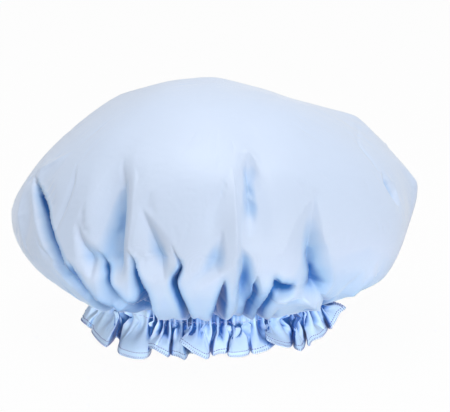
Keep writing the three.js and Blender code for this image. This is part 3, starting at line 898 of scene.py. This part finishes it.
def frill_rows():
    """The frill as a grid, and the length of its hem. Its rows go from the casing's top edge to the end of
    the turned-up hem, its columns round the cap."""
    hem, length = hem_path()
    count = len(hem)
    along = np.arange(count) / count
    turn = 2 * math.pi * along
    gather = np.sin(GATHERS * turn + waves(turn, GATHER_WANDER))
    gather *= 1 - GATHER_UNEVEN * (1 - waves(turn, GATHER_SWELL))
    azimuth = np.degrees(np.unwrap(np.arctan2(hem[:, 1], hem[:, 0])))
    even = azimuth[0] + 360 * along
    foot_azimuth = np.maximum.accumulate(even + evened(azimuth - even, int(FOOT_EVENING / HEM_STEP)))
    a = np.radians(foot_azimuth)
    out = np.stack([np.cos(a), np.sin(a), np.zeros(count)], -1)
    rows = []
    for t in np.linspace(0, 1, CASING_ROWS):
        pucker = CASING_PUCKER[0] + (CASING_PUCKER[1] - CASING_PUCKER[0]) * t
        radius = NECK_RADIUS + pucker * gather + CASING_SWELL * math.sin(math.pi * t)
        height = CASING_TOP + (CASING_FOOT - CASING_TOP) * t
        rows.append(radius[:, None] * out + [0, 0, height])
    foot = rows[-1]
    up = np.array([0, 0, 1])
    hem_up = directions(foot - hem)
    across = directions(np.cross(directions(np.roll(hem, -1, 0) - np.roll(hem, 1, 0)), hem_up))
    pull = FRILL_PULL * np.linalg.norm(foot - hem, axis=1, keepdims=True)
    first = foot - up * pull
    last = hem + (HEM_LEAN * hem_up + (1 - HEM_LEAN) * up) * pull
    creases = list(frill_creases(length))
    for t in np.linspace(0, 1, FRILL_ROWS)[1:]:
        row = (1 - t) ** 3 * foot + 3 * t * (1 - t) ** 2 * first + 3 * t * t * (1 - t) * last + t**3 * hem
        fade = math.sin(math.pi * min(1, t / GATHER_RUN)) * (1 - t)
        depth = GATHER_DEPTH * fade * gather - crease_depth(creases, along * length, length, t)
        rows.append(row + across * depth[:, None])
    for turned in np.linspace(0, math.pi, HEM_ROLL_ROWS)[1:]:
        inward = across * HEM_ROLL * (1 - math.cos(turned))
        rows.append(hem - inward - hem_up * HEM_ROLL * HEM_ROLL_DROP * math.sin(turned))
    for t in HEM_FOLD_ROWS:
        rows.append(hem - across * 2 * HEM_ROLL + hem_up * HEM_FOLD * t)
    return np.array(rows), length


def frill_piece(rows):
    return mesh_piece("frill_cloth", rows.reshape(-1, 3), ring_faces(*rows.shape[:2]))


def add_painted_shade(crown, fine, coarse, moved, frill, rows):
    """Measures how shut in the crown and the frill are, on thinned-out grids, and stores it with both as
    painted shade.
    """
    pouch = capped(coarse.points(0) + moved)
    on_crown = painted_shade(*pouch, CROWN_SHELTER_REACH, FLOOR_PAINTED_SHADE)[:-1].reshape(*coarse.share.shape, 1)
    on_crown = resample(smoothed(on_crown, CROWN_SHELTER_PASSES), coarse, fine.azimuth[0], fine.share[:, 0])
    # painted shade: the crown's colour is darkened where its folds and the floor shut it in
    add_values(crown, "painted_shade", np.append(on_crown.ravel(), 0))
    some_rows = np.arange(0, rows.shape[0], FRILL_SHELTER_THINNING)
    some_columns = np.arange(0, rows.shape[1] - 1, FRILL_SHELTER_THINNING)
    thin = rows[some_rows][:, some_columns]
    # painted shade: the crown's pouch counts as cover, so the frill's colour darkens under its lip
    on_frill = painted_shade(thin.reshape(-1, 3), ring_faces(*thin.shape[:2]), FRILL_SHELTER_REACH, 0, pouch)
    on_frill = on_frill.reshape(thin.shape[:2])
    columns = np.arange(rows.shape[1])
    ends = np.append(some_columns, rows.shape[1])
    on_frill = np.array([np.interp(columns, ends, np.append(row, row[0])) for row in on_frill])
    all_rows = np.arange(rows.shape[0])
    on_frill = np.array([np.interp(all_rows, some_rows, column) for column in on_frill.T]).T
    add_values(frill, "painted_shade", on_frill)


# Threads

def grid_normals(rows):
    """Outward directions on a grid that goes round."""
    return directions(np.cross(np.gradient(rows, axis=0), np.roll(rows, -1, 1) - np.roll(rows, 1, 1)))


def between(row, at):
    """Values of a closed row at places counted in its points."""
    low = np.floor(at).astype(int) % len(row)
    share = (at - np.floor(at))[..., None]
    return row[low] * (1 - share) + row[(low + 1) % len(row)] * share


def tubes(paths, outs, radius, sides):
    """Points and faces of many tubes of one length in steps. Paths is tubes by steps by 3, outs are
    directions across them, and radius is one value for each step."""
    count, steps = paths.shape[:2]
    tangent = directions(np.gradient(paths, axis=1))
    side = directions(np.cross(tangent, outs))
    up = np.cross(side, tangent)
    turn = np.arange(sides) * 2 * math.pi / sides
    ring = side[:, :, None] * np.cos(turn)[:, None] + up[:, :, None] * np.sin(turn)[:, None]
    points = paths[:, :, None] + ring * np.asarray(radius)[None, :, None, None]
    k, i, j = np.meshgrid(np.arange(count), np.arange(steps - 1), np.arange(sides), indexing="ij")
    here = (k * steps + i) * sides
    beyond = here + sides
    after = (j + 1) % sides
    faces = np.stack([here + j, here + after, beyond + after, beyond + j], -1).reshape(-1, 4).tolist()
    starts = np.arange(count)[:, None] * steps * sides
    faces += (starts + np.arange(sides)[::-1]).tolist()
    faces += (starts + (steps - 1) * sides + np.arange(sides)).tolist()
    return points.reshape(-1, 3), faces


def stitches(name, rows, row, pitch, span):
    """Stitches along a row of the frill: pitch and span are counted in its columns."""
    starts = np.arange(0, rows.shape[1] - pitch, pitch)
    steps = np.linspace(0, 1, STITCH_STEPS)
    at = starts[:, None] + span * steps
    outs = between(grid_normals(rows)[row], at)
    swell = np.sin(np.pi * steps)
    paths = between(rows[row], at) + outs * (STITCH_PROUD * swell - STITCH_SINK * STITCH_THREAD)[:, None]
    thickness = STITCH_THREAD * (STITCH_END + (1 - STITCH_END) * swell)
    return mesh_piece(name, *tubes(paths, outs, thickness, THREAD_SIDES))


def overlock(rows):
    """One thread wound round the edge of the hem."""
    hem = rows[HEM_ROW]
    turns = int(len(hem) * HEM_STEP / OVERLOCK_PITCH)
    steps = turns * OVERLOCK_STEPS
    at = np.linspace(0, len(hem), steps, endpoint=False)
    out = between(grid_normals(rows)[HEM_ROW - 1], at)
    above = between(directions(rows[HEM_STITCH_ROW] - hem), at)
    turn = np.linspace(0, 2 * math.pi * turns, steps, endpoint=False)[:, None]
    middle = between(hem, at) - out * HEM_ROLL + above * OVERLOCK_LIFT
    outward = out * np.cos(turn) * (HEM_ROLL + OVERLOCK_PROUD)
    path = middle + outward + above * np.sin(turn) * OVERLOCK_HALF_HEIGHT
    outs = out * np.cos(turn) + above * np.sin(turn)
    thickness = np.full(steps, OVERLOCK_THREAD)
    return mesh_piece("hem_overlock", *tubes(path[None], outs[None], thickness, OVERLOCK_SIDES))


# Inside the casing

def tape_piece():
    """The tape, folded to a C section that is open outwards and slightly puckered round the neck."""
    bend_height = TAPE_BEND[-1][1]
    straight = TAPE_HIGH - TAPE_LOW - 2 * bend_height
    section = [(TAPE_LIP, TAPE_LOW)]
    section += [(TAPE_INNER + out, TAPE_LOW + up) for out, up in TAPE_BEND]
    for t in TAPE_HOLLOW_STEPS:
        radius = TAPE_INNER - TAPE_HOLLOW * math.sin(math.pi * t)
        section.append((radius, TAPE_LOW + bend_height + straight * t))
    section += [(TAPE_INNER + out, TAPE_HIGH - up) for out, up in reversed(TAPE_BEND)]
    section += [(TAPE_LIP, TAPE_HIGH), (TAPE_LIP, TAPE_HIGH - TAPE_THICK)]
    section += [(TAPE_INNER + TAPE_BEND[0][0], TAPE_HIGH - TAPE_THICK)]
    section += [(TAPE_INNER + TAPE_THICK, TAPE_HIGH - bend_height)]
    section += [(TAPE_INNER + TAPE_THICK, TAPE_LOW + bend_height)]
    section += [(TAPE_INNER + TAPE_BEND[0][0], TAPE_LOW + TAPE_THICK), (TAPE_LIP, TAPE_LOW + TAPE_THICK)]
    section = np.array(section)
    a = np.linspace(0, 2 * math.pi, TAPE_COLUMNS, endpoint=False)
    radius = section[:, :1] + TAPE_WAVE * np.sin(PUCKERS * a + waves(a, TAPE_WANDER))
    height = section[:, 1:] + 0 * a
    points = np.stack([radius * np.cos(a), radius * np.sin(a), height], -1)
    faces = ring_faces(len(section), TAPE_COLUMNS, wrap_rows=True)
    return mesh_piece("casing_tape_cloth", points.reshape(-1, 3), faces)


def elastic_piece():
    """A flat ribbed band that winds a little over one turn, so that its ends lap at the back."""
    turn = np.radians(np.linspace(90 - ELASTIC_LAP / 2, 450 + ELASTIC_LAP / 2, ELASTIC_COLUMNS))
    step = np.linspace(ELASTIC_LAP_STEP, -ELASTIC_LAP_STEP, ELASTIC_COLUMNS)
    heights = np.linspace(ELASTIC_LOW, ELASTIC_HIGH, ELASTIC_RIBS * RIB_STEPS + 1)
    rib = RIB_HEIGHT * np.abs(np.sin(np.linspace(0, math.pi * ELASTIC_RIBS, len(heights))))
    half = ELASTIC_HALF + rib
    radii = np.concatenate([ELASTIC_RADIUS + half, ELASTIC_RADIUS - half[::-1]])
    heights = np.concatenate([heights, heights[::-1]])
    radius = radii[:, None] + step
    points = np.stack([radius * np.cos(turn), radius * np.sin(turn), heights[:, None] + 0 * turn], -1)
    faces = []
    starts = np.arange(len(radii)) * ELASTIC_COLUMNS
    for here, below in zip(starts.tolist(), np.roll(starts, -1).tolist()):
        faces += [[here + j, below + j, below + j + 1, here + j + 1] for j in range(ELASTIC_COLUMNS - 1)]
    faces.append(starts[::-1].tolist())
    faces.append((starts + ELASTIC_COLUMNS - 1).tolist())
    return mesh_piece("ribbed_elastic", points.reshape(-1, 3), faces)


def tack_piece():
    """The zigzag tack that holds the lap of the elastic, on its inner face at the back."""
    count = 2 * TACK_ZIGZAGS
    points = [(TACK_LENGTH * (i / count - 0.5), TACK_RADIUS, TACK_HEIGHTS[i % 2]) for i in range(count + 1)]
    path = smooth_line(points, TACK_STEPS * len(points))
    outs = np.tile([0.0, -1.0, 0.0], (len(path), 1))
    thickness = np.full(len(path), TACK_THREAD)
    return mesh_piece("zigzag_tack", *tubes(path[None], outs[None], thickness, THREAD_SIDES))


# Materials

def new_material(name):
    material = bpy.data.materials.new(name)
    material.use_nodes = True
    nodes = material.node_tree.nodes
    return material, nodes, material.node_tree.links, nodes["Principled BSDF"]


def new_group(name, inputs, outputs):
    """An empty shader group whose inputs and outputs are values of those names."""
    tree = bpy.data.node_groups.new(name, "ShaderNodeTree")
    for socket in inputs:
        tree.interface.new_socket(socket, in_out="INPUT", socket_type="NodeSocketFloat")
    for socket in outputs:
        tree.interface.new_socket(socket, in_out="OUTPUT", socket_type="NodeSocketFloat")
    return tree, tree.nodes.new("NodeGroupInput"), tree.nodes.new("NodeGroupOutput")


def calculate(tree, operation, *values):
    """A maths node on values that are numbers or outputs of nodes."""
    node = tree.nodes.new("ShaderNodeMath")
    node.operation = operation
    for socket, value in zip(node.inputs, values):
        if isinstance(value, bpy.types.NodeSocket):
            tree.links.new(value, socket)
        else:
            socket.default_value = value
    return node.outputs[0]


def noise(tree, place, scale, detail, distortion):
    node = tree.nodes.new("ShaderNodeTexNoise")
    node.inputs["Detail"].default_value = detail
    node.inputs["Distortion"].default_value = distortion
    tree.links.new(place, node.inputs["Vector"])
    tree.links.new(scale, node.inputs["Scale"])
    return node.outputs["Fac"]


def woven_threads():
    """Threads that cross: how high they stand, and how their tone differs."""
    tree, given, result = new_group("woven_threads", ["Threads per metre"], ["Height", "Tone"])
    parts = tree.nodes.new("ShaderNodeSeparateXYZ")
    tree.links.new(tree.nodes.new("ShaderNodeTexCoord").outputs["Object"], parts.inputs[0])
    turns = calculate(tree, "MULTIPLY", given.outputs["Threads per metre"], 2 * math.pi)
    ripples = [calculate(tree, "SINE", calculate(tree, "MULTIPLY", part, turns)) for part in parts.outputs]
    height = calculate(tree, "ADD", calculate(tree, "ADD", ripples[0], ripples[1]), ripples[2])
    tree.links.new(height, result.inputs["Height"])
    tree.links.new(calculate(tree, "MULTIPLY_ADD", height, THREAD_CONTRAST, 1), result.inputs["Tone"])
    return tree


def handled_cloth():
    """Unevenness of cloth or film that has been handled: wrinkles, and lighter and darker patches."""
    counts = ["Wrinkles per metre", "Patches per metre"]
    tree, given, result = new_group("handled_cloth", counts, ["Height", "Tone"])
    place = tree.nodes.new("ShaderNodeTexCoord").outputs["Object"]
    wrinkles = noise(tree, place, given.outputs[counts[0]], detail=4, distortion=0.8)
    patches = noise(tree, place, given.outputs[counts[1]], detail=3, distortion=0.3)
    tree.links.new(wrinkles, result.inputs["Height"])
    tone = calculate(tree, "MULTIPLY_ADD", patches, PATCH_CONTRAST, 1 - PATCH_CONTRAST / 2)
    tree.links.new(tone, result.inputs["Tone"])
    return tree


WEAVE = woven_threads()
HANDLING = handled_cloth()


def use_group(tree, group, **values):
    node = tree.nodes.new("ShaderNodeGroup")
    node.node_tree = group
    for name, value in values.items():
        node.inputs[name.replace("_", " ").capitalize()].default_value = value
    return node


def tinted(tree, colour, tone):
    """A colour, given as four numbers or by a node, made lighter or darker by a tone."""
    mix = tree.nodes.new("ShaderNodeMix")
    mix.data_type = "RGBA"
    mix.blend_type = "MULTIPLY"
    mix.inputs["Factor"].default_value = 1
    if isinstance(colour, bpy.types.NodeSocket):
        tree.links.new(colour, mix.inputs["A"])
    else:
        mix.inputs["A"].default_value = colour
    tree.links.new(tone, mix.inputs["B"])
    return mix.outputs["Result"]


def relief(tree, shader, height, distance, strength):
    bump = tree.nodes.new("ShaderNodeBump")
    bump.inputs["Distance"].default_value = distance
    bump.inputs["Strength"].default_value = strength
    tree.links.new(height, bump.inputs["Height"])
    tree.links.new(bump.outputs[0], shader.inputs["Normal"])


def woven_material(name, tones, threads, wrinkles, roughness, sheen):
    """Cloth or thread whose colour goes through the tones from its own colour in open places to painted
    shade in shut-in places.
    """
    material, nodes, links, shader = new_material(name)
    tree = material.node_tree
    # painted shade: the colour is darkened through the tones by how shut in the cloth is
    shut = nodes.new("ShaderNodeAttribute")
    shut.attribute_name = "painted_shade"
    ramp = nodes.new("ShaderNodeValToRGB")
    steps = ramp.color_ramp.elements
    while len(steps) < len(tones):
        steps.new(0.5)
    for step, (position, colour) in zip(steps, tones):
        step.position = position
        step.color = (*colour, 1)
    links.new(shut.outputs["Fac"], ramp.inputs[0])
    weave = use_group(tree, WEAVE, threads_per_metre=threads)
    handling = use_group(tree, HANDLING, wrinkles_per_metre=wrinkles, patches_per_metre=CLOTH_PATCHES)
    tone = calculate(tree, "MULTIPLY", weave.outputs["Tone"], handling.outputs["Tone"])
    links.new(tinted(tree, ramp.outputs[0], tone), shader.inputs["Base Color"])
    rough = calculate(tree, "MULTIPLY", handling.outputs["Tone"], roughness)
    links.new(rough, shader.inputs["Roughness"])
    heights = weave.outputs["Height"], THREAD_RELIEF, handling.outputs["Height"]
    height = calculate(tree, "MULTIPLY_ADD", *heights)
    relief(tree, shader, height, CLOTH_RELIEF, CLOTH_RELIEF_STRENGTH)
    shader.inputs["Sheen Weight"].default_value = sheen
    shader.inputs["Sheen Roughness"].default_value = SHEEN_ROUGHNESS
    return material


def film_material():
    """Thin clouded film with a slight gloss and crinkles."""
    material, _, links, shader = new_material("lining_film")
    tree = material.node_tree
    counts = dict(wrinkles_per_metre=FILM_WRINKLES, patches_per_metre=FILM_PATCHES)
    handling = use_group(tree, HANDLING, **counts)
    links.new(tinted(tree, FILM_COLOUR, handling.outputs["Tone"]), shader.inputs["Base Color"])
    rough = calculate(tree, "MULTIPLY", handling.outputs["Height"], FILM_ROUGHNESS)
    links.new(rough, shader.inputs["Roughness"])
    relief(tree, shader, handling.outputs["Height"], FILM_RELIEF, FILM_RELIEF_STRENGTH)
    return material


cloth_look = dict(threads=2900, wrinkles=70, roughness=0.44, sheen=0.5)
frill_look = dict(threads=2900, wrinkles=110, roughness=0.42, sheen=0.15)
elastic_look = dict(threads=900, wrinkles=200, roughness=0.75, sheen=0.3)
thread_look = dict(threads=2600, wrinkles=400, roughness=0.6, sheen=0.2)
satin = woven_material("pale_blue_satin", CROWN_COLOUR_AND_PAINTED_SHADE, **cloth_look)
frill_satin = woven_material("pale_blue_frill_satin", FRILL_COLOUR_AND_PAINTED_SHADE, **frill_look)
film = film_material()
elastic_weave = woven_material("white_elastic", ELASTIC_TONES, **elastic_look)
thread = woven_material("blue_grey_thread", THREAD_TONES, **thread_look)
pale_thread = woven_material("pale_blue_thread", PALE_THREAD_TONES, **thread_look)

# The cap's pieces, each with its look, the node that it replaces and its slot

CROWN_FOLDS = list(crown_folds())
coarse_crown = crown_cloth(COARSE_GRID, fine=False)
settled = settle(coarse_crown)
crown, fine_crown = crown_piece(coarse_crown, settled)
lining = lining_piece(coarse_crown, settled)
frill_grid, hem_length = frill_rows()
frill = frill_piece(frill_grid)
# painted shade: how shut in the crown and the frill are is stored for their colours to darken by
add_painted_shade(crown, fine_crown, coarse_crown, settled, frill, frill_grid)
tape = tape_piece()
hem_row = stitches("hem_stitches", frill_grid, HEM_STITCH_ROW, **HEM_STITCH)
upper_row = stitches("upper_casing_stitches", frill_grid, CASING_STITCH_ROWS[0], **CASING_STITCH)
lower_row = stitches("lower_casing_stitches", frill_grid, CASING_STITCH_ROWS[1], **CASING_STITCH)
hem_overlock = overlock(frill_grid)
pieces = [
    (crown, satin, "outer_crown", "satin_cloth"),
    (lining, film, "waterproof_lining", "lining_film"),
    (frill, frill_satin, "frill", "satin_cloth"),
    (tape, satin, "casing_tape", "satin_cloth"),
    (elastic_piece(), elastic_weave, "elastic_band", "elastic_weave"),
    (tack_piece(), thread, "elastic_tack", "thread"),
    (upper_row, pale_thread, "upper_casing_stitching", "thread"),
    (lower_row, pale_thread, "lower_casing_stitching", "thread"),
    (hem_row, thread, "hem_stitching", "thread"),
    (hem_overlock, thread, None, "thread"),
]
for piece, material, node, slot_name in pieces:
    piece.data.materials.append(material)
    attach(piece, "root")
    if node:
        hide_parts(node)

disc = crown_disc() * MM


# Stage: white floor and surroundings, soft lamps, and the camera

def looking_rays(tree):
    """1 for rays from the camera and for reflected or refracted ones, 0 for those that light a surface."""
    rays = tree.nodes.new("ShaderNodeLightPath")
    looking = rays.outputs["Is Camera Ray"]
    for kind in ("Is Glossy Ray", "Is Transmission Ray"):
        looking = calculate(tree, "MAXIMUM", looking, rays.outputs[kind])
    return looking


def stage_floor():
    bpy.ops.mesh.primitive_plane_add(size=FLOOR_SIZE, location=(0, 0, -FLOOR_GAP))
    floor = bpy.context.object
    floor.name = "floor"
    material = bpy.data.materials.new("white_floor")
    material.use_nodes = True
    tree = material.node_tree
    tree.nodes.clear()
    out = tree.nodes.new("ShaderNodeOutputMaterial")
    mix = tree.nodes.new("ShaderNodeMixShader")
    glow = tree.nodes.new("ShaderNodeEmission")
    matt = tree.nodes.new("ShaderNodeBsdfDiffuse")
    matt.inputs["Color"].default_value = FLOOR_GREY
    tree.links.new(calculate(tree, "MULTIPLY", looking_rays(tree), FLOOR_GLOW), mix.inputs[0])
    tree.links.new(matt.outputs[0], mix.inputs[1])
    tree.links.new(glow.outputs[0], mix.inputs[2])
    tree.links.new(mix.outputs[0], out.inputs[0])
    floor.data.materials.append(material)


def world_light():
    world = bpy.data.worlds.new("studio")
    bpy.context.scene.world = world
    world.use_nodes = True
    tree = world.node_tree
    background = tree.nodes["Background"]
    background.inputs["Color"].default_value = (1, 1, 1, 1)
    strength = tree.nodes.new("ShaderNodeMapRange")
    strength.inputs["To Min"].default_value = WORLD_LIGHT
    strength.inputs["To Max"].default_value = 1
    tree.links.new(looking_rays(tree), strength.inputs["Value"])
    tree.links.new(strength.outputs[0], background.inputs["Strength"])


def place_in_scene(name, data, place, towards):
    """An object for a lamp or camera at a place in metres, facing that way."""
    holder = bpy.data.objects.new(name, data)
    holder.location = place
    holder.rotation_euler = towards.to_track_quat("-Z", "Y").to_euler()
    bpy.context.scene.collection.objects.link(holder)
    return holder


def soft_lamp(name, place, size, power, aim=LAMP_AIM, height=None, spread=180):
    lamp = bpy.data.lights.new(name, "AREA")
    lamp.shape = "RECTANGLE"
    lamp.size = size
    lamp.size_y = height or size
    lamp.spread = math.radians(spread)
    lamp.energy = power
    place_in_scene(name, lamp, place, Vector(aim) - Vector(place))


def camera():
    view = bpy.data.cameras.new("camera")
    view.lens = CAMERA_LENS
    view.sensor_width = CAMERA_SENSOR
    ahead = Vector(camera_axes()[1])
    place = Vector(CAMERA_AIM) * MM - ahead * CAMERA_DISTANCE * MM
    bpy.context.scene.camera = place_in_scene("camera", view, place, ahead)


stage_floor()
world_light()
for lamp_values in LAMPS:
    soft_lamp(**lamp_values)
camera()
bpy.context.scene.view_settings.view_transform = "Standard"
